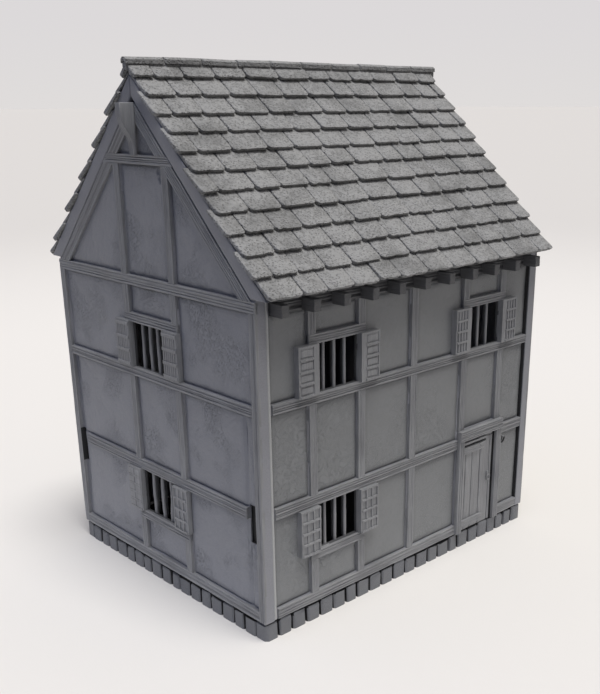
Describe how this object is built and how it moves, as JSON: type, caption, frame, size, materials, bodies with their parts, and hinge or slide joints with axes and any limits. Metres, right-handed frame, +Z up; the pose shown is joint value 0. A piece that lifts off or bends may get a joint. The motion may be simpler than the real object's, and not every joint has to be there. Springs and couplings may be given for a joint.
{
  "type": "half-timbered town house model",
  "caption": "Hollow two-storey timber-framed town house model with open windows, paired shutters, a plank door and a steep slated gable roof.",
  "frame": {"origin": "middle of the footprint at the underside of the plinth", "axes": "+Z up, -Y towards the front with the door, -X towards the left gable"},
  "size_m": [0.1338, 0.1156, 0.1609],
  "materials": {
    "grey_polystyrene": "matte"
  },
  "bodies": {
    "root": {"back_joist_ends": "grey_polystyrene", "back_lower_left_shutters": "grey_polystyrene", "back_lower_right_shutters": "grey_polystyrene", "back_plinth": "grey_polystyrene", "back_roof_slab": "grey_polystyrene", "back_slates": "grey_polystyrene", "back_upper_left_shutters": "grey_polystyrene", "back_upper_right_shutters": "grey_polystyrene", "back_wall": "grey_polystyrene", "door": "grey_polystyrene", "door_frame": "grey_polystyrene", "front_joist_ends": "grey_polystyrene", "front_lower_left_shutters": "grey_polystyrene", "front_plinth": "grey_polystyrene", "front_roof_slab": "grey_polystyrene", "front_slates": "grey_polystyrene", "front_upper_left_shutters": "grey_polystyrene", "front_upper_right_shutters": "grey_polystyrene", "front_wall": "grey_polystyrene", "left_gable_bracket": "grey_polystyrene", "left_gable_lower_shutters": "grey_polystyrene", "left_gable_upper_shutters": "grey_polystyrene", "left_gable_wall": "grey_polystyrene", "left_plinth": "grey_polystyrene", "ridge_tiles": "grey_polystyrene", "right_gable_bracket": "grey_polystyrene", "right_gable_lower_shutters": "grey_polystyrene", "right_gable_upper_shutters": "grey_polystyrene", "right_gable_wall": "grey_polystyrene", "right_plinth": "grey_polystyrene"}
  },
  "joints": []
}
